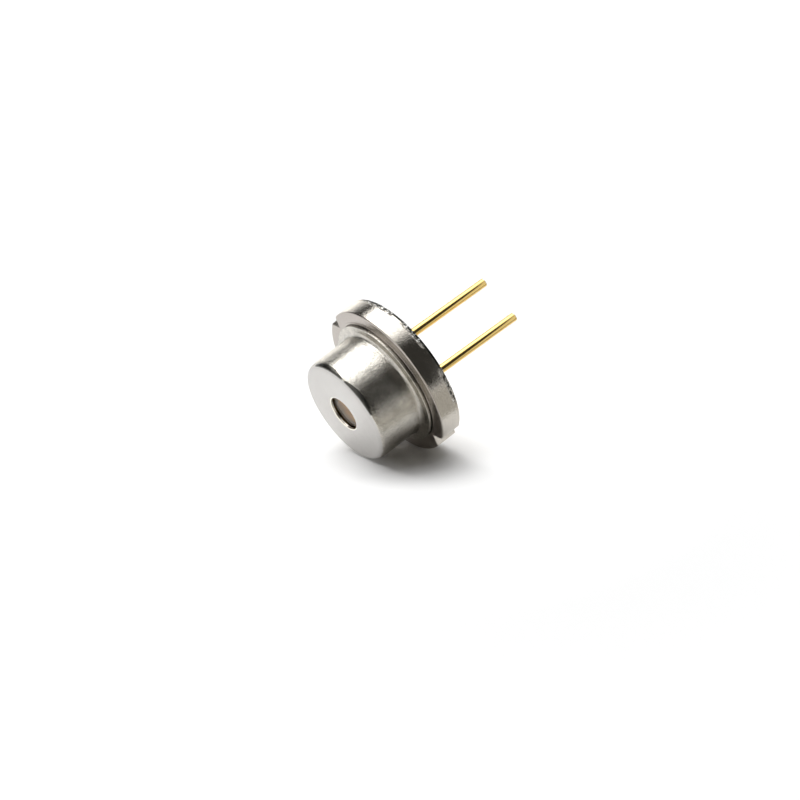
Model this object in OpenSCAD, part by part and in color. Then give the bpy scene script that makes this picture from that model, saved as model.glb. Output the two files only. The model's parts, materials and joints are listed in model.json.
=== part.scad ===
// Laser diode in a round metal can with two leads.
// Every piece is drawn about the optical axis: z = 0 is the front face of the base, light leaves
// along +Z, and the two leads stand on the X axis. lie_at_rest() then turns the finished can to the
// way it lies on a table, on the rim of its base and the rounded nose of its cap.

/* [Base] */
// Diameter of the round base
base_d = 9; // [8.6:0.1:10]
// Thickness of the base
base_t = 1.3; // [1:0.05:2]
// Radius of the rounded front edge of the base
base_edge_r = 0.1; // [0.05:0.01:0.2]
// Depth of the two V notches, which are twice as wide
notch_depth = 0.58; // [0.3:0.02:0.64]
// Width of the index slot in the rim
slot_w = 1; // [0.6:0.1:1.4]
// Depth of the index slot
slot_depth = 0.4; // [0.2:0.05:0.5]
// Height of the weld land above the front face
land_h = 0.03; // [0.02:0.01:0.06]
// How far the weld land reaches past the flange of the cap
land_margin = 0.13; // [0.05:0.01:0.18]

/* [Cap] */
// Outer diameter of the cap
cap_d = 6.3; // [6:0.1:6.6]
// Height of the cap's front above the front face of the base
cap_h = 3.13; // [3:0.05:3.8]
// Thickness of the drawn sheet
cap_wall = 0.15; // [0.1:0.01:0.2]
// Outer radius of the cap's rounded nose
nose_r = 0.27; // [0.21:0.01:0.4]
// Width of the flange outside the wall
flange_w = 0.56; // [0.45:0.01:0.6]
// Thickness of the flange, coined thinner than the sheet
flange_t = 0.12; // [0.1:0.01:0.15]
// Radius of the hollow curve from wall to flange
foot_r = 0.25; // [0.15:0.01:0.35]
// Radius of the flange's rounded upper edge
flange_edge_r = 0.04; // [0.02:0.01:0.08]
// Height of the weld ridge, which holds the flange off the land
ridge_h = 0.06; // [0.04:0.01:0.1]
// Width of the weld ridge
ridge_w = 0.2; // [0.1:0.02:0.3]
// Diameter of the aperture for the light
aperture_d = 2.04; // [1.6:0.02:2.4]
// Radius of the aperture's rounded front edge
aperture_edge_r = 0.05; // [0.02:0.01:0.08]

/* [Window] */
// Diameter of the window glass
window_d = 3.6; // [3.2:0.1:4.4]
// Thickness of the window glass
window_t = 0.3; // [0.2:0.05:0.4]
// Width of the solder glass ring
solder_w = 0.5; // [0.2:0.05:0.5]
// Thickness of the solder glass ring
solder_t = 0.05; // [0.03:0.01:0.08]

/* [Leads] */
// Diameter of each lead
lead_d = 0.5; // [0.4:0.02:0.6]
// Distance between the leads' centres
lead_pitch = 2.54; // [2.3:0.02:2.8]
// Length of each lead behind the base
lead_len = 6.95; // [5:0.05:12]
// Height of each lead above the front face of the base, inside the cap
lead_post_h = 1.2; // [1.1:0.05:1.4]
// Radius of the rounded tip of each lead
lead_tip_r = 0.05; // [0.02:0.01:0.1]
// Angle at which the leads lean, as they were handled
lead_lean = 1.4; // [0.2:0.1:4]
// Radius at which the leads bend
lead_bend_r = 2; // [1:0.1:4]
// Straight stretch of lead between the base and the bend
lead_bend_gap = 0.15; // [0.05:0.05:0.5]
// Diameter of each glass seal
seal_d = 1.2; // [0.9:0.05:1.4]
// How far the seal's edge stands back from both faces of the base
seal_recess = 0.06; // [0.02:0.01:0.12]
// Depth of the dished ring in the seal's two faces
seal_dish = 0.06; // [0.02:0.01:0.1]

/* [Heat sink and chip] */
// Height of the chip's front facet above the front face of the base
emitter_z = 2.25; // [2.1:0.05:2.3]
// Radius of the block's round back
block_r = 1.85; // [1.6:0.05:2.5]
// Width of the block
block_w = 1.9; // [1.6:0.1:3.4]
// Gap between the block and each glass seal
block_relief = 0.12; // [0.08:0.02:0.2]
// Width of the submount
submount_w = 1.1; // [1:0.05:1.14]
// Length of the submount along the optical axis
submount_len = 1.65; // [1.6:0.05:1.8]
// Thickness of the submount
submount_t = 0.3; // [0.25:0.05:0.4]
// Thickness of the gold pads
pad_t = 0.02; // [0.01:0.01:0.04]
// Bare border round the pads
pad_border = 0.05; // [0.03:0.01:0.07]
// Width of the second pad
pad_2_w = 0.2; // [0.16:0.02:0.22]
// Bare stripe between the pads
pad_gap = 0.08; // [0.05:0.01:0.1]
// Width of the chip
chip_w = 0.36; // [0.3:0.02:0.38]
// Length of the chip along the optical axis
chip_len = 1.2; // [1:0.05:1.4]
// Thickness of the chip
chip_t = 0.12; // [0.08:0.01:0.15]
// How far the chip's facet stands past the submount
chip_overhang = 0.02; // [0.01:0.01:0.04]
// Diameter of the bond wires
wire_d = 0.04; // [0.03:0.01:0.06]

/* [Pose] */
// Turn of the can about its own axis as it lies
roll = 45.3; // [0:0.1:90]

/* [Hidden] */
$fn = 96;
base_r = base_d/2;
cap_r = cap_d/2;
flange_r = cap_r + flange_w;
land_r = flange_r + land_margin;
flange_z = land_h + ridge_h;
cap_ceiling = cap_h - cap_wall;
nose_inner_r = nose_r - cap_wall;
ridge_r = cap_r + flange_w/2;
window_r = window_d/2;
solder_z = cap_ceiling - solder_t;
window_z = solder_z - window_t;
lead_x = lead_pitch/2;
seal_r = seal_d/2;
// The chip lies on y = 0, so its junction is on the optical axis
pad_y = -pad_t;
submount_y = pad_y - submount_t;
submount_top = emitter_z - chip_overhang;
submount_z = submount_top - submount_len;
pad_x_max = submount_w/2 - pad_border;
pad_1_w = 2*pad_x_max - pad_2_w - pad_gap;
pad_2_x = pad_x_max - pad_2_w/2;
pad_1_x = -pad_x_max + pad_1_w/2;
chip_z = emitter_z - chip_len;
relief_r = seal_r + block_relief;
// Where the wires land: on the flats of the leads, near the outer edge of each pad, on the chip
wire_inset = 2*wire_d;
lead_bond_x = lead_x - lead_d/4;
pad_1_bond_x = pad_x_max - wire_inset;
chip_bond_x = chip_w/2 - wire_inset;
lead_wire_z = [for (i = [0:1]) (submount_z + lead_post_h)/2 + (i - 0.5)*4*wire_d];
chip_wire_z = [for (i = [1:3]) chip_z + i*chip_len/4];
// The can rests on two roundings: the base's front edge and the cap's nose. The table is the line
// that touches both, and the optical axis leans towards it by this angle.
rest_run = cap_h - nose_r + base_edge_r;
rest_drop = (base_r - base_edge_r) - (cap_r - nose_r);
rest_lean = atan2(rest_drop, rest_run) - asin((nose_r - base_edge_r)/norm([rest_run, rest_drop]));
// Overrun that carries a cut clear of the face it leaves through
past = 0.5;

steel = [0.72, 0.70, 0.67];
cap_nickel = [0.80, 0.78, 0.76];
gold = [0.85, 0.65, 0.28];
dark_glass = [0.12, 0.16, 0.15];
clear_glass = [0.75, 0.82, 0.84, 0.45];
ceramic_white = [0.88, 0.86, 0.80];
chip_grey = [0.22, 0.22, 0.26];

// Turns the can from its upright drawing to the way it lies, the emission side down and forward
module lie_at_rest() {
    rotate([90 + rest_lean, 0, 0]) rotate([0, 0, -roll]) children();
}

// Section of a round plate with its upper outer edge rounded
module edge_rounded_section(radius, bottom, top, edge) {
    translate([0, bottom]) square([radius - edge, top - bottom]);
    translate([0, bottom]) square([radius, top - edge - bottom]);
    translate([radius - edge, top - edge]) circle(edge);
}

// Filling between a corner and the circle that touches both its sides
module hollow_corner(radius) {
    difference() {
        square(radius);
        translate([radius, radius]) circle(radius);
    }
}

// Base

module v_notch(side) {
    reach = notch_depth + past;
    rotate([0, 0, side]) translate([0, 0, -base_t - past])
        linear_extrude(base_t + land_h + 2*past)
            polygon([[base_r - notch_depth, 0], [base_r + past, -reach], [base_r + past, reach]]);
}

module index_slot() {
    translate([-slot_w/2, -base_r - past, -base_t - past])
        cube([slot_w, slot_depth + past, base_t + land_h + 2*past]);
}

module header_part() {
    color(steel) difference() {
        union() {
            rotate_extrude() edge_rounded_section(base_r, -base_t, 0, base_edge_r);
            translate([0, 0, -base_t/2]) cylinder(r = land_r, h = base_t/2 + land_h);
        }
        for (side = [0, 180]) v_notch(side);
        index_slot();
        for (x = [-lead_x, lead_x])
            translate([x, 0, -base_t - past]) cylinder(r = seal_r, h = base_t + land_h + 2*past);
    }
}

// Heat sink, submount and chip

module heat_sink_block_part() {
    color(gold) difference() {
        translate([0, 0, land_h]) cylinder(r = block_r, h = submount_top - land_h);
        translate([-block_r - past, submount_y, land_h - past])
            cube([2*block_r + 2*past, block_r - submount_y + past, emitter_z + 2*past]);
        for (side = [-1, 1])
            translate([side*(block_w/2 + block_r) - block_r, -block_r - past, land_h - past])
                cube([2*block_r, 2*block_r + 2*past, emitter_z + 2*past]);
        for (x = [-lead_x, lead_x])
            translate([x, 0, land_h - past]) cylinder(r = relief_r, h = emitter_z + 2*past);
    }
}

module submount_part() {
    color(ceramic_white) translate([-submount_w/2, submount_y, submount_z])
        cube([submount_w, submount_t, submount_len]);
}

module pad(x, width) {
    translate([x - width/2, pad_y, submount_z + pad_border])
        cube([width, pad_t, submount_len - pad_border]);
}

module submount_pads_part() {
    color(gold) {
        pad(pad_1_x, pad_1_w);
        pad(pad_2_x, pad_2_w);
    }
}

module laser_chip_part() {
    color(chip_grey) translate([-chip_w/2, 0, chip_z]) cube([chip_w, chip_t, chip_len]);
}

// Bond wires: each is a half ring that stands square on the two faces it joins

module level_wire(from_x, to_x, z) {
    translate([(from_x + to_x)/2, 0, z]) rotate_extrude(angle = 180)
        translate([(to_x - from_x)/2, 0]) circle(d = wire_d);
}

// Ring through a point on the chip's face and a lower one on the pad, cut off at both faces
module stepped_wire(from_x, to_x, z) {
    mid_x = (from_x + to_x)/2;
    ring_r = norm([(to_x - from_x)/2, chip_t/2]);
    cut = 2*ring_r + past;
    difference() {
        translate([mid_x, chip_t/2, z]) rotate_extrude() translate([ring_r, 0]) circle(d = wire_d);
        translate([mid_x - cut, chip_t - cut, z - cut/2]) cube([cut, cut, cut]);
        translate([mid_x - past/2, -cut, z - cut/2]) cube([cut, cut, cut]);
    }
}

module wires_lead_1_part() {
    color(gold) for (z = lead_wire_z) level_wire(-lead_bond_x, -pad_1_bond_x, z);
}

module wires_chip_part() {
    color(gold) for (z = chip_wire_z) stepped_wire(chip_bond_x, pad_2_x, z);
}

module wires_lead_2_part() {
    color(gold) for (z = lead_wire_z) level_wire(pad_2_x, lead_bond_x, z);
}

// Leads and their seals

// The post inside the can is coined flat, level with the pads
module lead_post() {
    difference() {
        cylinder(d = lead_d, h = lead_post_h);
        translate([-lead_d, 0, submount_z - pad_border]) cube([2*lead_d, lead_d, lead_post_h]);
    }
}

// Behind the base the lead turns a little towards +X and runs on straight
module lead(x) {
    bend_z = -base_t - lead_bend_gap;
    run = lead_len - lead_bend_gap - lead_bend_r*sin(lead_lean);
    color(gold) translate([x, 0, 0]) {
        lead_post();
        translate([0, 0, bend_z]) cylinder(d = lead_d, h = -bend_z);
        translate([lead_bend_r, 0, bend_z]) rotate([90, 0, 0]) rotate([0, 0, 180])
            rotate_extrude(angle = lead_lean) translate([lead_bend_r, 0]) circle(d = lead_d);
        translate([lead_bend_r*(1 - cos(lead_lean)), 0, bend_z - lead_bend_r*sin(lead_lean)])
            rotate([0, 180 - lead_lean, 0])
                rotate_extrude() edge_rounded_section(lead_d/2, 0, run, lead_tip_r);
    }
}

module lead_1_part() lead(-lead_x);

module lead_2_part() lead(lead_x);

// Glass between lead and base, dished where it was molten
module glass_seal(x) {
    wall = seal_r - lead_d/2;
    dish_r = (pow(wall/2, 2) + pow(seal_dish, 2))/(2*seal_dish);
    face = -seal_recess;
    back = -base_t + seal_recess;
    color(dark_glass) translate([x, 0, 0]) rotate_extrude() difference() {
        translate([lead_d/2, back]) square([wall, face - back]);
        for (y = [face - seal_dish + dish_r, back + seal_dish - dish_r])
            translate([lead_d/2 + wall/2, y]) circle(dish_r);
    }
}

module glass_seal_1_part() glass_seal(-lead_x);

module glass_seal_2_part() glass_seal(lead_x);

// Cap

// Outside of the drawn cup: rounded nose, wall, hollow foot and coined flange
module cap_outer_section() {
    flange_top = flange_z + flange_t;
    edge_rounded_section(cap_r, flange_z, cap_h, nose_r);
    edge_rounded_section(flange_r, flange_z, flange_top, flange_edge_r);
    translate([cap_r, flange_top]) hollow_corner(foot_r);
}

// Inside of the cup, which flares at its mouth as the sheet turns out into the flange
module cap_inner_section() {
    inner_r = cap_r - cap_wall;
    edge_rounded_section(inner_r, flange_z, cap_ceiling, nose_inner_r);
    translate([0, flange_z - past]) square([inner_r, 2*past]);
    translate([inner_r, flange_z]) hollow_corner(foot_r + cap_wall);
}

// Aperture with a rounded front edge
module aperture_section() {
    aperture_r = aperture_d/2;
    translate([0, cap_ceiling - past]) square([aperture_r, 2*past + cap_wall]);
    difference() {
        translate([0, cap_h - aperture_edge_r]) square([aperture_r + aperture_edge_r, past]);
        translate([aperture_r + aperture_edge_r, cap_h - aperture_edge_r]) circle(aperture_edge_r);
    }
}

module cap_shell_part() {
    color(cap_nickel) rotate_extrude() {
        difference() {
            cap_outer_section();
            cap_inner_section();
            aperture_section();
        }
        translate([ridge_r - ridge_w/2, land_h]) square([ridge_w, ridge_h]);
    }
}

module window_glass_part() {
    color(clear_glass) translate([0, 0, window_z]) cylinder(r = window_r, h = window_t);
}

module window_solder_part() {
    color(dark_glass) translate([0, 0, solder_z]) difference() {
        cylinder(r = window_r, h = solder_t);
        translate([0, 0, -past]) cylinder(r = window_r - solder_w, h = solder_t + 2*past);
    }
}

lie_at_rest() header_part();  // header
lie_at_rest() heat_sink_block_part();  // heat_sink_block
lie_at_rest() submount_part();  // submount
lie_at_rest() submount_pads_part();  // submount_pads
lie_at_rest() laser_chip_part();  // laser_chip
lie_at_rest() wires_lead_1_part();  // wires_lead_1
lie_at_rest() wires_chip_part();  // wires_chip
lie_at_rest() wires_lead_2_part();  // wires_lead_2
lie_at_rest() lead_1_part();  // lead_1
lie_at_rest() lead_2_part();  // lead_2
lie_at_rest() glass_seal_1_part();  // glass_seal_1
lie_at_rest() glass_seal_2_part();  // glass_seal_2
lie_at_rest() cap_shell_part();  // cap_shell
lie_at_rest() window_glass_part();  // window_glass
lie_at_rest() window_solder_part();  // window_solder
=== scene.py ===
# %% [markdown]
# # A laser diode in a round metal can
# The can is nine millimetres across. A pressed steel base carries a drawn nickel cap with a small
# window, and two gold-plated leads pass through the base in beads of glass. This notebook loads
# the CAD frame, turns finer copies of the round pieces, and gives each finish its own material.

# %% Load the frame
import json
import math

import bpy
from mathutils import Matrix, Vector


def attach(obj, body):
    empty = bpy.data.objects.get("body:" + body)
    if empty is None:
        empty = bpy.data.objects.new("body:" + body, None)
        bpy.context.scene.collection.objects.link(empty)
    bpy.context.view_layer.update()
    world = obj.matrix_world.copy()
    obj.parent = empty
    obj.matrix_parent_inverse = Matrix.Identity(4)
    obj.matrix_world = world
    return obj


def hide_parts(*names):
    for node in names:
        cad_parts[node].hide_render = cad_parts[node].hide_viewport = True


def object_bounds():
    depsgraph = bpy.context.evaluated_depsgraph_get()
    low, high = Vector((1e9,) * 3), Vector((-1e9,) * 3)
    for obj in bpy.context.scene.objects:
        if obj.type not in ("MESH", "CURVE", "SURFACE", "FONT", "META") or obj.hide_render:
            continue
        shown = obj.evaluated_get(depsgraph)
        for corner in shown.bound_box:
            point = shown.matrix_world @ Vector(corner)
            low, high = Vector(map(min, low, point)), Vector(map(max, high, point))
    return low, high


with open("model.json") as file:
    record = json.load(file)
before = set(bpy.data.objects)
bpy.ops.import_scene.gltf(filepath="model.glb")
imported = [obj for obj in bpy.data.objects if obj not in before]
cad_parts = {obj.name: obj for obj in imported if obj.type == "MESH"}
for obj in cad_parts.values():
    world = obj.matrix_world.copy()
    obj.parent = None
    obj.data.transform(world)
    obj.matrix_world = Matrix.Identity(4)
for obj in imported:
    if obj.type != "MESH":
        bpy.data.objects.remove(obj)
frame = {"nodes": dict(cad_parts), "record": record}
cad_box = [list(corner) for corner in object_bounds()]
print("CAD box in mm:", [[round(1000 * v, 2) for v in corner] for corner in cad_box])

# %% [markdown]
# ## Where the can lies
# The can lies on its rim and on the nose of its cap, so none of the world's axes runs along it.
# Its own axes come from the mounts: light leaves along the optical axis, and the two leads give
# the sideways direction. Pieces are made upright about Z, as on a lathe, and then laid down.

# %% Axes of the can
mounts = {mount["name"]: mount for mount in frame["record"]["mounts"]}
optical = Vector(mounts["rim"]["axis"]).normalized()
across = Vector(mounts["lead_2_pin"]["pos_m"]) - Vector(mounts["lead_1_pin"]["pos_m"])
across = (across - across.dot(optical) * optical).normalized()
lie_down = Matrix((across, optical.cross(across), optical)).transposed().to_4x4()
stand_up = lie_down.inverted()
table_z = cad_box[0][2]
print("the axis tips", round(math.degrees(math.asin(-optical.z)), 2), "degrees below level")

# %% [markdown]
# ## Camera
# The view is from the front right and a little above the table. A long lens a quarter of a metre
# away keeps the edges of so small a can nearly parallel.

# %% Camera
view_turn, view_rise, view_away = math.radians(54.3), math.radians(19.4), 0.25
view_right = Vector((math.cos(view_turn), math.sin(view_turn), 0))
view_back = Vector((math.sin(view_turn) * math.cos(view_rise),
                    -math.cos(view_turn) * math.cos(view_rise), math.sin(view_rise)))
view_up = view_back.cross(view_right)

lens = bpy.data.cameras.new("camera")
lens.sensor_width, lens.lens = 36, 206.9
lens.clip_start, lens.clip_end = 0.01, 10
camera = bpy.data.objects.new("camera", lens)
stand_point = 0.743e-3 * view_right - 1.019e-3 * view_up + view_away * view_back
camera.matrix_world = (Matrix.Translation(stand_point)
                       @ Matrix((view_right, view_up, view_back)).transposed().to_4x4())
bpy.context.scene.collection.objects.link(camera)
bpy.context.scene.camera = camera
print("camera at", [round(v, 3) for v in stand_point])

# %% [markdown]
# ## Sizes
# The CAD solids already have the true sizes. Stood upright again, each node gives its radius and
# its two ends, and the finer pieces below are turned to those figures. The few small radii of
# edges and hollows are given in millimetres, as on a drawing.

# %% Sizes read from the solids


def upright_size(node):
    """Greatest radius, lowest end and highest end of a node about the can's axis, in mm."""
    points = [stand_up @ v.co for v in frame["nodes"][node].data.vertices]
    heights = [p.z for p in points]
    return (round(1000 * max(math.hypot(p.x, p.y) for p in points), 2),
            round(1000 * min(heights), 2), round(1000 * max(heights), 2))


base_r, base_back, land_z = upright_size("header")
flange_r, ridge_foot, cap_top = upright_size("cap_shell")
glass_r, glass_back, glass_front = upright_size("window_glass")
_, solder_back, solder_front = upright_size("window_solder")
_, lead_end, lead_head = upright_size("lead_2")
lead_r = mounts["lead_2_pin"]["dims"]["r_mm"]
print("base", base_r, base_back, land_z, "cap", flange_r, cap_top, "glass", glass_r, glass_back,
      "lead", lead_r, lead_end, lead_head)

# %% [markdown]
# ## Turning
# Nearly every piece of the can is round. Each starts as one ring of vertices, which is extruded
# from station to station along the section and resized on the way, as a lathe tool would follow
# it. Stations on a small arc give the rounded edges that catch the light.

# %% Helpers for turning
RING = 256


def select_only(*pieces):
    if bpy.context.object and bpy.context.object.mode != "OBJECT":
        bpy.ops.object.mode_set(mode="OBJECT")
    bpy.ops.object.select_all(action="DESELECT")
    for piece in pieces:
        piece.select_set(True)
        bpy.context.view_layer.objects.active = piece


def arc(centre_r, centre_z, radius, start, stop, steps):
    """Stations on an arc in the section, angles in degrees from the outward direction."""
    angles = [math.radians(start + (stop - start) * i / steps) for i in range(steps + 1)]
    return [(centre_r + radius * math.cos(a), centre_z + radius * math.sin(a)) for a in angles]


def turned(name, stations, ring=RING, closed=False):
    """A solid of revolution about Z. Stations are (radius, height) in mm."""
    select_only()
    radius, height = stations[0]
    bpy.ops.mesh.primitive_circle_add(vertices=ring, radius=radius / 1000,
                                      location=(0, 0, height / 1000))
    piece = bpy.context.object
    piece.name = piece.data.name = name
    bpy.ops.object.transform_apply(location=True)
    bpy.ops.object.mode_set(mode="EDIT")
    bpy.ops.mesh.select_all(action="SELECT")
    for next_radius, next_height in stations[1:] + stations[:1] * closed:
        bpy.ops.mesh.extrude_edges_move(
            TRANSFORM_OT_translate={"value": (0, 0, (next_height - height) / 1000)})
        grow = next_radius / radius
        bpy.ops.transform.resize(value=(grow, grow, 1),
                                 center_override=(0, 0, next_height / 1000))
        radius, height = next_radius, next_height
    bpy.ops.mesh.select_all(action="SELECT")
    bpy.ops.mesh.remove_doubles(threshold=2e-7)
    if not closed:
        bpy.ops.mesh.fill_holes(sides=0)
    bpy.ops.mesh.select_all(action="SELECT")
    bpy.ops.mesh.normals_make_consistent(inside=False)
    bpy.ops.object.mode_set(mode="OBJECT")
    return piece


def cut_away(piece, cutters):
    """Takes each cutter's shape out of the piece, as a press tool or a drill would."""
    for cutter in cutters:
        select_only(piece)
        cutting = piece.modifiers.new("cut", "BOOLEAN")
        cutting.object, cutting.operation, cutting.solver = cutter, "DIFFERENCE", "EXACT"
        bpy.ops.object.modifier_apply(modifier=cutting.name)
        bpy.data.objects.remove(cutter)


def place(piece, node, slot, material=None, smooth=35):
    """Lays an upright piece down where its CAD node is, and lets it stand for that node."""
    select_only(piece)
    bpy.ops.object.shade_smooth_by_angle(angle=math.radians(smooth))
    piece.matrix_world = lie_down @ piece.matrix_world
    bpy.ops.object.transform_apply(location=True, rotation=True, scale=True)
    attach(piece, "root")
    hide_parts(node)
    if material:
        piece.data.materials.clear()
        piece.data.materials.append(material)
    print(piece.name, len(piece.data.polygons), "faces")


# %% [markdown]
# ## Shader maths
# A small class wraps a node's socket, so that a pattern is written as plain arithmetic and each
# operator adds its Math node. Patterns are laid out in upright millimetres: a Mapping node turns
# the Object coordinates back to the upright can.

# %% Helpers for materials


class Flow:
    """A number or vector that flows from one node's socket."""

    def __init__(self, finish, socket):
        self.finish, self.socket = finish, socket

    def maths(self, operation, *others):
        return self.finish.node("Math", {"operation": operation}, self, *others)

    def __add__(self, other):
        return self.maths("ADD", other)

    def __sub__(self, other):
        return self.maths("SUBTRACT", other)

    def __rsub__(self, other):
        return self.finish.node("Math", {"operation": "SUBTRACT"}, other, self)

    def __mul__(self, other):
        return self.maths("MULTIPLY", other)

    __radd__, __rmul__ = __add__, __mul__

    def __truediv__(self, other):
        return self.maths("DIVIDE", other)

    def above(self, edge, width):
        """Rises smoothly from 0 to 1 where this value passes the edge."""
        return self.finish.node("MapRange", {"interpolation_type": "SMOOTHSTEP"}, self,
                                edge - width / 2, edge + width / 2)


class Finish:
    """A material under construction."""

    def __init__(self, name, **constants):
        self.material = bpy.data.materials.new(name)
        self.material.use_nodes = True
        self.tree = self.material.node_tree
        self.shader = self.tree.nodes["Principled BSDF"]
        for socket, value in constants.items():
            self.shader.inputs[socket.replace("_", " ")].default_value = value

    def fill(self, socket, value):
        if isinstance(value, Flow):
            self.tree.links.new(value.socket, socket)
        elif value is not None:
            socket.default_value = value

    def node(self, kind, settings=None, *values, output=0, **named):
        made = self.tree.nodes.new("ShaderNode" + kind)
        for setting, value in (settings or {}).items():
            setattr(made, setting, value)
        for socket, value in zip(made.inputs, values):
            self.fill(socket, value)
        for socket, value in named.items():
            self.fill(made.inputs[socket.replace("_", " ")], value)
        return Flow(self, made.outputs[output])

    def upright(self):
        """Place on the upright can, in millimetres."""
        spot = self.node("TexCoord", output="Object")
        return self.node("Mapping", {}, spot, Rotation=stand_up.to_euler(),
                         Scale=(1000, 1000, 1000))

    def parts(self, spot):
        """The three parts of a vector."""
        first = self.node("SeparateXYZ", {}, spot)
        return [Flow(self, first.socket.node.outputs[part]) for part in range(3)]

    def noise(self, spot, scale, detail=2, stretch=(1, 1, 1), roughness=0.5):
        if stretch != (1, 1, 1):
            spot = self.node("Mapping", {}, spot, Scale=stretch)
        return self.node("TexNoise", {}, Vector=spot, Scale=scale, Detail=detail,
                         Roughness=roughness)

    def mix(self, amount, first, second):
        """From the first colour to the second as the amount goes from 0 to 1."""
        made = self.node("Mix", {"data_type": "RGBA"}, amount, output=2)
        for place, colour in ((6, first), (7, second)):
            self.fill(made.socket.node.inputs[place], colour)
        return made

    def set(self, **inputs):
        for socket, value in inputs.items():
            self.fill(self.shader.inputs[socket.replace("_", " ")], value)

    def bump(self, height, distance, strength=1.0):
        self.set(Normal=self.node("Bump", {}, Height=height, Distance=distance,
                                  Strength=strength))


# %% [markdown]
# ## Finishes of the metals
# The base and the cap are both nickel plated. The cap is satin. The rim round its aperture is
# polished, and its cream colour is a painted highlight. The base is a little darker and warmer, and
# brighter polished by its die. The leads are bright gold. On each, fine noise in the roughness and
# the bump breaks up the reflections as rolled and plated metal does. Noise alone could do it all,
# but masks by radius and height keep each finish on the surface where the real tool left it, and
# keep the painted highlight on the rim.

# %% Nickel of the cap
satin = Finish("satin nickel", Metallic=1.0)
spot = satin.upright()
x, y, z = satin.parts(spot)
radius = (x * x + y * y).maths("SQRT")
front = z.above(cap_top - 0.1, 0.05)
# The rim round the aperture: polished, with a painted highlight in its cream colour.
polish_and_highlight = (1 - radius.above(1.09, 0.03)) * front
grain = satin.noise(spot, 13, detail=3, roughness=0.7)
cloud = satin.noise(spot, 1.6, detail=4, stretch=(1, 1, 0.6), roughness=0.6)
stain = (grain * 0.6 + cloud * 0.4).above(0.51, 0.12) * (1 - front * 0.85)
tone = satin.mix(front, (0.60, 0.57, 0.515, 1), (0.55, 0.535, 0.515, 1))
tone = satin.mix(stain * 0.6, tone, (0.30, 0.29, 0.255, 1))

# %% [markdown]
# ### Painted reflections on the nose
# Two dark crescents on the rounded nose are painted reflections of a dark part of the room. Each is
# a stretch of angle round the axis, widest in its middle, with an edge that noise makes ragged.
# They are painted into the colour, so they stay in their places when the light changes.

# %% Painted reflections on the nose, and the cap's finish
turn = y.maths("ARCTAN2", x)
# Painted reflection: the middle angle and the half-width of each dark crescent on the nose.
nose_painted_reflections = ((2.32, 0.46), (1.46, 0.44))
painted_reflection = 0
for middle, half in nose_painted_reflections:
    near = 1 - (turn - middle).maths("ABSOLUTE").above(half * 0.6, half)
    ragged = z + near * 0.19 + grain * 0.08
    painted_reflection = painted_reflection + ragged.above(cap_top - 0.11, 0.05) * near.above(0.12, 0.1)
painted_reflection = painted_reflection * (1 - (z + grain * 0.05).above(cap_top - 0.05, 0.04))
# The dark crescents are a painted reflection, mixed into the nickel's colour.
tone = satin.mix(painted_reflection * 0.9, tone, (0.035, 0.034, 0.030, 1))
# The rim's cream colour is a painted highlight; its lower roughness is the polish.
satin.set(Base_Color=satin.mix(polish_and_highlight, tone, (0.86, 0.82, 0.73, 1)),
          Roughness=(grain * 0.14 + front * 0.06 + 0.05) * (1 - polish_and_highlight * 0.6))
satin.bump(grain * (1 - front * 0.8) + cloud * (1 - front) * 0.6, distance=1.6e-5)

# %% Steel of the base
plated = Finish("plated steel", Metallic=1.0)
spot = plated.upright()
x, y, z = plated.parts(spot)
radius = (x * x + y * y).maths("SQRT")
turn = y.maths("ARCTAN2", x)
unrolled = plated.node("CombineXYZ", {}, turn * base_r, z, radius)
front = z.above(-0.06, 0.04)
grain = plated.noise(spot, 12, detail=3, roughness=0.7)
rings = plated.noise(unrolled, 1.0, detail=4, stretch=(0.5, 14, 3), roughness=0.6)
tone = plated.mix(rings, (0.60, 0.565, 0.51, 1), (0.48, 0.45, 0.40, 1))
tone = plated.mix(front, tone, (0.45, 0.41, 0.375, 1))
tone = plated.mix(grain.above(0.55, 0.12) * 0.35, tone, (0.30, 0.285, 0.255, 1))

# %% [markdown]
# ### Marks of the shear
# The back edge of the base is where the press tore it from the sheet. It has patches of torn,
# flecked metal. Modelled burrs would be finer than the mesh, so they are masks on the unrolled rim:
# stretches of angle times a band of height, held to the rim by the radius. A thin near-black line
# is also drawn into the colour along one stretch of the back edge.

# %% Marks of the shear, and a dark line, on the back edge of the base
torn = plated.noise(unrolled, 1, detail=4, stretch=(4, 11, 1), roughness=0.7)
flecks = plated.noise(unrolled, 1, detail=3, stretch=(10, 14, 1), roughness=0.6)
shear_marks = ((2.31, 0.30), (1.65, 0.18), (0.85, 0.22), (-2.6, 0.3), (-1.2, 0.25))
marks = 0
for middle, half in shear_marks:
    marks = marks + (1 - (turn - middle).maths("ABSOLUTE").above(half, 0.14))
on_rim = radius.above(base_r - 0.08, 0.04)
band = (1 - (z + torn * 0.5).above(base_back + 0.52, 0.10)) * on_rim
burr = marks * band * torn.above(0.48, 0.05)
fleck = marks * band * flecks.above(0.58, 0.04)
# A thin near-black line, drawn into the colour along one stretch of the back edge.
line_middle, line_half = 1.89, 0.8
line = (1 - (z + torn * 0.06).above(base_back + 0.16, 0.03)) * radius.above(base_r - 0.07, 0.02)
line = line * (1 - (turn - line_middle).maths("ABSOLUTE").above(line_half, 0.3))
dark = burr.maths("MAXIMUM", line)
tone = plated.mix(dark, tone, (0.012, 0.011, 0.009, 1))
plated.set(Base_Color=plated.mix(fleck, tone, (0.85, 0.84, 0.80, 1)),
           Roughness=grain * 0.09 + rings * 0.04 + front * 0.10 + dark * 0.3 + 0.02)
plated.bump(grain + rings * 0.4 - burr * 2, distance=9e-6)

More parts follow.
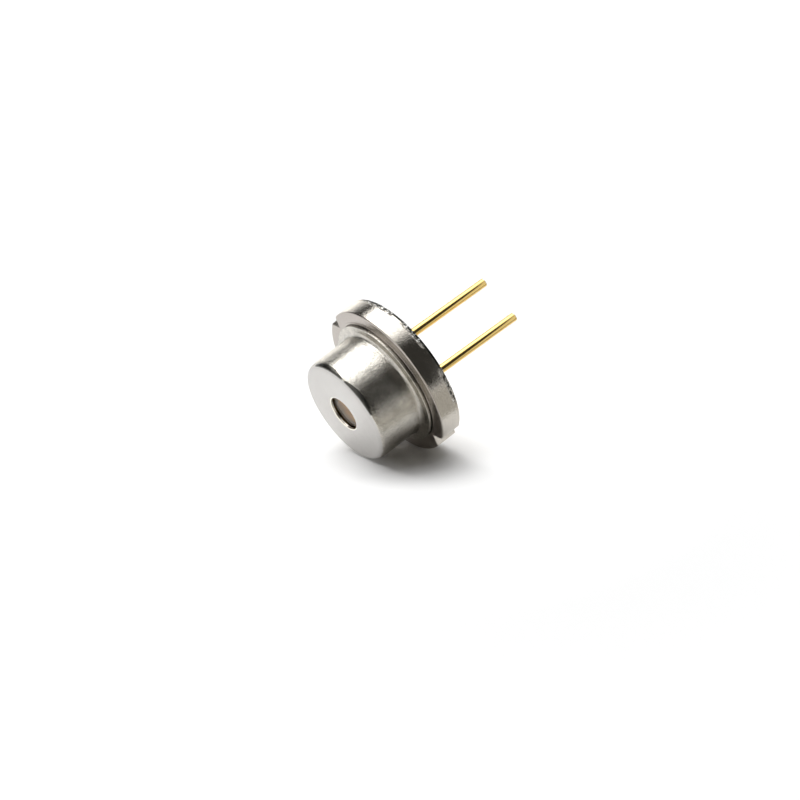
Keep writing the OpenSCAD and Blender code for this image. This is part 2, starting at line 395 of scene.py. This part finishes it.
# %% Gold of the leads
bright_gold = Finish("bright gold", Metallic=1.0)
spot = bright_gold.upright()
drawn = bright_gold.noise(spot, 2.5, detail=3, stretch=(6, 6, 0.4))
x, y, z = bright_gold.parts(spot)
cut_end = 1 - z.above(lead_end + 0.06, 0.02)
tone = bright_gold.mix(drawn, (0.80, 0.59, 0.23, 1), (0.64, 0.44, 0.14, 1))
bright_gold.set(Base_Color=bright_gold.mix(cut_end, tone, (0.66, 0.61, 0.50, 1)),
                Roughness=drawn * 0.10 + 0.03)
bright_gold.bump(drawn, distance=1e-6)

# %% Gold inside the can
soft_gold = Finish("soft gold", Metallic=1.0)
speck = soft_gold.noise(soft_gold.upright(), 9, detail=3)
soft_gold.set(Base_Color=soft_gold.mix(speck, (0.80, 0.50, 0.18, 1), (0.68, 0.40, 0.13, 1)),
              Roughness=speck * 0.15 + 0.25)

# %% [markdown]
# ## Glass, ceramic and chip
# The beads round the leads are dark compression glass. The window is clear with a coating that
# leaves a warm reflection, and the ring of solder glass behind its edge is brown and dull.

# %% Glasses
bead_glass = Finish("bead glass", Roughness=0.12)
smoke = bead_glass.noise(bead_glass.upright(), 4, detail=3)
bead_glass.set(Base_Color=bead_glass.mix(smoke, (0.012, 0.022, 0.020, 1), (0.03, 0.045, 0.04, 1)))

coated_glass = Finish("coated glass", Roughness=0.02, Transmission_Weight=1.0, IOR=1.45,
                      Base_Color=(0.95, 0.58, 0.17, 1), Specular_Tint=(1.0, 0.58, 0.18, 1))

solder_glass = Finish("solder glass", Roughness=0.35)
smoke = solder_glass.noise(solder_glass.upright(), 6, detail=3)
solder_glass.set(Base_Color=solder_glass.mix(smoke, (0.06, 0.035, 0.018, 1),
                                             (0.11, 0.07, 0.04, 1)))

# %% Ceramic and chip
ceramic = Finish("submount ceramic", Roughness=0.5)
smoke = ceramic.noise(ceramic.upright(), 12, detail=3)
ceramic.set(Base_Color=ceramic.mix(smoke, (0.72, 0.69, 0.62, 1), (0.62, 0.59, 0.53, 1)))

crystal = Finish("laser crystal", Roughness=0.18, Metallic=0.3)
smoke = crystal.noise(crystal.upright(), 14, detail=2)
crystal.set(Base_Color=crystal.mix(smoke, (0.05, 0.05, 0.065, 1), (0.09, 0.09, 0.11, 1)))

# %% [markdown]
# ## The base
# The real base is pressed from sheet steel: round, with a rounded front edge, a sharp edge behind
# and a slightly raised land in front, on which the cap is welded. The disc is turned first. Then
# two V notches and the index slot are cut from the rim, and two bores for the beads of glass.

# %% Turn the base
base_edge_r = 0.1
land_r = flange_r + 0.13
base = turned("base", [(base_r - 0.03, base_back), (base_r, base_back + 0.03),
                       *arc(base_r - base_edge_r, -base_edge_r, base_edge_r, 0, 90, 6),
                       (land_r + 0.006, 0), (land_r, 0.006), (land_r, land_z - 0.006),
                       (land_r - 0.006, land_z)])

# %% Cut the notches, the slot and the bores
notch_depth, slot_w, slot_depth = 0.58, 1.0, 0.4
seal_r, lead_x = 0.6, 1.27
cutters = []
for side in (-1, 1):
    select_only()
    bpy.ops.mesh.primitive_cube_add(size=0.004, rotation=(0, 0, math.radians(45)), location=(
        side * (base_r - notch_depth + 2 * math.sqrt(2)) / 1000, 0, 0))
    cutters.append(bpy.context.object)
    bpy.ops.mesh.primitive_cylinder_add(vertices=96, radius=seal_r / 1000, depth=0.006,
                                        location=(side * lead_x / 1000, 0, 0))
    cutters.append(bpy.context.object)
bpy.ops.mesh.primitive_cube_add(size=1, scale=(slot_w / 1000, 0.002, 0.006), location=(
    0, -(base_r - slot_depth + 1) / 1000, 0))
cutters.append(bpy.context.object)
cut_away(base, cutters)
place(base, "header", "base_steel", plated.material)

# %% [markdown]
# ## The cap
# The cap is a cup drawn from thin nickel sheet. Its flange is coined thin and stands on a narrow
# weld ridge, which leaves the dark line seen between cap and base. A hollow curve leads up to the
# wall. Toward the nose the wall curves in very slightly, as drawing leaves it, and then the nose
# is rounded. The aperture in the front has a softened edge.

# %% Turn the cap
wall, nose_r, foot_r, flange_t, flange_edge_r = 0.15, 0.27, 0.25, 0.12, 0.04
cap_r = flange_r - 0.56
inner_r, ceiling = cap_r - wall, cap_top - wall
ridge_h, ridge_w, aperture_r, aperture_edge_r = 0.06, 0.2, 1.02, 0.05
flange_z = ridge_foot + ridge_h
flange_top = flange_z + flange_t
ridge_r = (cap_r + flange_r) / 2
blend_r, blend_to = 1.1, 18
blend_sin, blend_cos = math.sin(math.radians(blend_to)), math.cos(math.radians(blend_to))
blend_z = cap_top - nose_r + (nose_r - blend_r) * blend_sin
nose_middle = cap_r - blend_r * (1 - blend_cos) - nose_r * blend_cos
flare_r = foot_r + wall
flare_open = math.degrees(math.asin((inner_r + flare_r - ridge_r + ridge_w / 2) / flare_r))
cap = turned("cap", [
    *arc(flange_r - flange_edge_r, flange_top - flange_edge_r, flange_edge_r, 0, 90, 5),
    *arc(cap_r + foot_r, flange_top + foot_r, foot_r, 270, 180, 12),
    *arc(cap_r - blend_r, blend_z, blend_r, 0, blend_to, 5),
    *arc(nose_middle, cap_top - nose_r, nose_r, blend_to, 90, 14),
    *arc(aperture_r + aperture_edge_r, cap_top - aperture_edge_r, aperture_edge_r, 90, 180, 5),
    (aperture_r, ceiling),
    *arc(inner_r - nose_r + wall, ceiling - nose_r + wall, nose_r - wall, 90, 0, 6),
    *arc(inner_r + flare_r, flange_z + flare_r, flare_r, 180, 270 - flare_open, 8),
    (ridge_r - ridge_w / 2, ridge_foot), (ridge_r + ridge_w / 2, ridge_foot),
    (ridge_r + ridge_w / 2, flange_z), (flange_r, flange_z)], closed=True)
place(cap, "cap_shell", "cap_nickel", satin.material)

# %% [markdown]
# ## Window, beads and leads
# The window is a disc of glass held behind the aperture by a ring of solder glass. Each bead fills
# its bore and is dished where the molten glass drew up the lead and the wall.

# %% Window and its solder ring
pane = turned("window_pane", [(glass_r - 0.02, glass_back), (glass_r, glass_back + 0.02),
                              (glass_r, glass_front - 0.02), (glass_r - 0.02, glass_front)],
              ring=128)
place(pane, "window_glass", "window_glass", coated_glass.material)

solder_w = 0.5
solder = turned("solder_ring", [(glass_r, solder_back), (glass_r, solder_front),
                                (glass_r - solder_w, solder_front),
                                (glass_r - solder_w, solder_back)], ring=128, closed=True)
place(solder, "window_solder", "solder_glass", solder_glass.material)

# %% Beads of glass
_, bead_back, bead_front = upright_size("glass_seal_1")
dish = 0.06
half_wall = (seal_r - lead_r) / 2
dish_r = (half_wall ** 2 + dish ** 2) / (2 * dish)
open_angle = math.degrees(math.asin(half_wall / dish_r))
middle = lead_r + half_wall
for number, side in ((1, -1), (2, 1)):
    bead = turned(f"bead_{number}", [
        *arc(middle, bead_front - dish + dish_r, dish_r, 270 - open_angle, 270 + open_angle, 10),
        *arc(middle, bead_back + dish - dish_r, dish_r, 90 - open_angle, 90 + open_angle, 10)],
        ring=96, closed=True)
    bead.location.x = side * lead_x / 1000
    place(bead, f"glass_seal_{number}", "seal_glass", bead_glass.material)

# %% [markdown]
# ## The leads
# Each lead is a straight drawn pin until it is handled: behind the base it has been pushed a
# degree or so sideways. The pin is turned with rings close together in the bend, and the bend then
# carries each ring round, so that the tail runs on straight at the new angle.

# %% Turn and bend the leads
lead_len, bend_start, post_flat_z = 6.95, 0.15, 0.53
lean, bend_r, bend_z, tip_r = math.radians(1.4), 2.0, base_back - bend_start, 0.05
run_out = lead_len - bend_start - bend_r * math.sin(lean)
tail_z = bend_z - bend_r * lean - run_out


def bend_over(piece):
    """Carries what lies behind the bend round it, towards +X."""
    for vertex in piece.data.vertices:
        x, z = 1000 * vertex.co.x, 1000 * vertex.co.z
        if z < bend_z:
            turn = min((bend_z - z) / bend_r, lean)
            past = bend_z - z - bend_r * turn
            vertex.co.x = (bend_r - (bend_r - x) * math.cos(turn) + past * math.sin(turn)) / 1000
            vertex.co.z = (bend_z - (bend_r - x) * math.sin(turn) - past * math.cos(turn)) / 1000


for number, side in ((1, -1), (2, 1)):
    pin = turned(f"pin_{number}", [
        *arc(lead_r - tip_r, tail_z + tip_r, tip_r, -90, 0, 5),
        *[(lead_r, bend_z - bend_r * lean * step / 3) for step in (3, 2, 1, 0)],
        (lead_r, lead_head)], ring=64)
    bend_over(pin)
    select_only()
    bpy.ops.mesh.primitive_cube_add(size=1, scale=(0.002, 0.002, 0.002),
                                    location=(0, 0.001, (post_flat_z + 1) / 1000))
    cut_away(pin, [bpy.context.object])
    pin.location.x = side * lead_x / 1000
    place(pin, f"lead_{number}", "lead_gold", bright_gold.material)

# %% [markdown]
# ## Inside the can
# The block, the submount, its pads, the chip and the bond wires are square-cut pieces whose CAD
# solids are already right, so they keep their shape and get their finish here.

# %% Finishes inside
for node, finish in {"heat_sink_block": soft_gold, "submount": ceramic, "submount_pads": soft_gold,
                     "laser_chip": crystal, "wires_lead_1": bright_gold,
                     "wires_chip": bright_gold, "wires_lead_2": bright_gold}.items():
    solid = frame["nodes"][node]
    solid.data.materials.clear()
    solid.data.materials.append(finish.material)

# %% [markdown]
# ## The studio
# The table is white, and so is the room to the front and the left. A broad soft lamp hangs above,
# a little to the left. Bright metal shows what it reflects, so cards stand where a studio has
# them: a tall dark one on the right with a grey one lying before it, a dark one high at the left,
# and a white one low at the left behind. The table glows a little for what looks at it, more
# outside the can's shadow than in it, so that it reads as white and the shadow stays tight.

# %% Table and room
select_only()
bpy.ops.mesh.primitive_plane_add(size=2, location=(0, 0, table_z))
table = bpy.context.object
table.name = "table"
paper = Finish("white paper", Base_Color=(0.95, 0.95, 0.95, 1), Roughness=0.9)
paper.set(Specular_IOR_Level=0.0)
path = {kind: paper.node("LightPath", output=f"Is {kind} Ray")
        for kind in ("Camera", "Glossy", "Transmission")}
seen = path["Camera"].maths("MAXIMUM", path["Glossy"]).maths("MAXIMUM", path["Transmission"])
x, y, z = paper.parts(paper.node("TexCoord", output="Object"))
shade_middle = (0.9, 0.9)
x, y = x * 1000 - shade_middle[0], y * 1000 - shade_middle[1]
far, near = x * 0.59 + y * 0.81, y * 0.59 - x * 0.81
away = (far * far * 1.7 + near * near).maths("SQRT")
clear = away.above(3.85, 5.3) * 0.38 - away.above(19, 12) * 0.12 + away.above(50, 70) * 0.22
glow = paper.node("Emission", {}, Color=(1, 1, 1, 1), Strength=seen * clear)
both = paper.node("AddShader", {}, Flow(paper, paper.shader.outputs[0]), glow)
paper.tree.links.new(both.socket, paper.tree.nodes["Material Output"].inputs["Surface"])
table.data.materials.append(paper.material)

world = bpy.data.worlds.new("room")
world.use_nodes = True
bpy.context.scene.world = world
sky = world.node_tree.nodes["Background"]
ways = world.node_tree.nodes.new("ShaderNodeLightPath")
level = world.node_tree.nodes.new("ShaderNodeMapRange")
level.inputs["To Min"].default_value, level.inputs["To Max"].default_value = 0.03, 1.0
direct = world.node_tree.nodes.new("ShaderNodeMath")
direct.operation = "SUBTRACT"
direct.inputs[0].default_value = 1.0
world.node_tree.links.new(ways.outputs["Is Diffuse Ray"], direct.inputs[1])
world.node_tree.links.new(direct.outputs[0], level.inputs["Value"])
world.node_tree.links.new(level.outputs[0], sky.inputs["Strength"])
sky.inputs["Color"].default_value = (1, 1, 1, 1)

# %% Lamps and cards


def facing(turn, rise, away):
    """A place seen from the can in a direction, and the turn that faces back to the can."""
    turn, rise = math.radians(turn), math.radians(rise)
    out = Vector((math.cos(rise) * math.cos(turn), math.cos(rise) * math.sin(turn),
                  math.sin(rise)))
    side = Vector((-math.sin(turn), math.cos(turn), 0))
    return Matrix.Translation(away * out) @ Matrix(
        (side, out.cross(side), out)).transposed().to_4x4()


def soft_lamp(name, turn, rise, away, wide, high, radiance):
    lamp = bpy.data.lights.new(name, "AREA")
    lamp.shape, lamp.size, lamp.size_y = "RECTANGLE", wide, high
    lamp.energy = radiance * math.pi * wide * high
    stand = bpy.data.objects.new(name, lamp)
    stand.matrix_world = facing(turn, rise, away)
    bpy.context.scene.collection.objects.link(stand)


def card_at(name, place, wide, high, level):
    """A card that only reflections show, at a level of brightness where 1 is white."""
    select_only()
    bpy.ops.mesh.primitive_plane_add(size=1)
    card = bpy.context.object
    card.name = name
    card.matrix_world = place @ Matrix.Diagonal((wide, high, 1, 1))
    finish = Finish(name, Base_Color=(0, 0, 0, 1), Roughness=1.0, Specular_IOR_Level=0.0,
                    Emission_Color=(1.0, 0.97, 0.90, 1), Emission_Strength=level)
    card.data.materials.append(finish.material)
    card.visible_camera = card.visible_shadow = card.visible_diffuse = False


soft_lamp("overhead_lamp", turn=180, rise=76, away=0.30, wide=0.46, high=0.28,
          radiance=1.7)
soft_lamp("key_lamp", turn=-155, rise=54, away=0.30, wide=0.24, high=0.24,
          radiance=2.2)
stand_by = facing(-6, 0, 0.06)
stand_by.translation.z = table_z + 0.075
card_at("right_card", stand_by, wide=0.076, high=0.15, level=0.055)
lying = Matrix.Translation((0.0205, 0.010, table_z + 0.0004))
card_at("low_card", lying, wide=0.029, high=0.054, level=0.62)
card_at("left_card", facing(-159, 33, 0.20), wide=0.22, high=0.138, level=0.05)
card_at("bright_card", facing(150, 2, 0.25), wide=0.13, high=0.10, level=1.9)

# %% View and finish
bpy.context.scene.view_settings.view_transform = "Standard"
select_only()
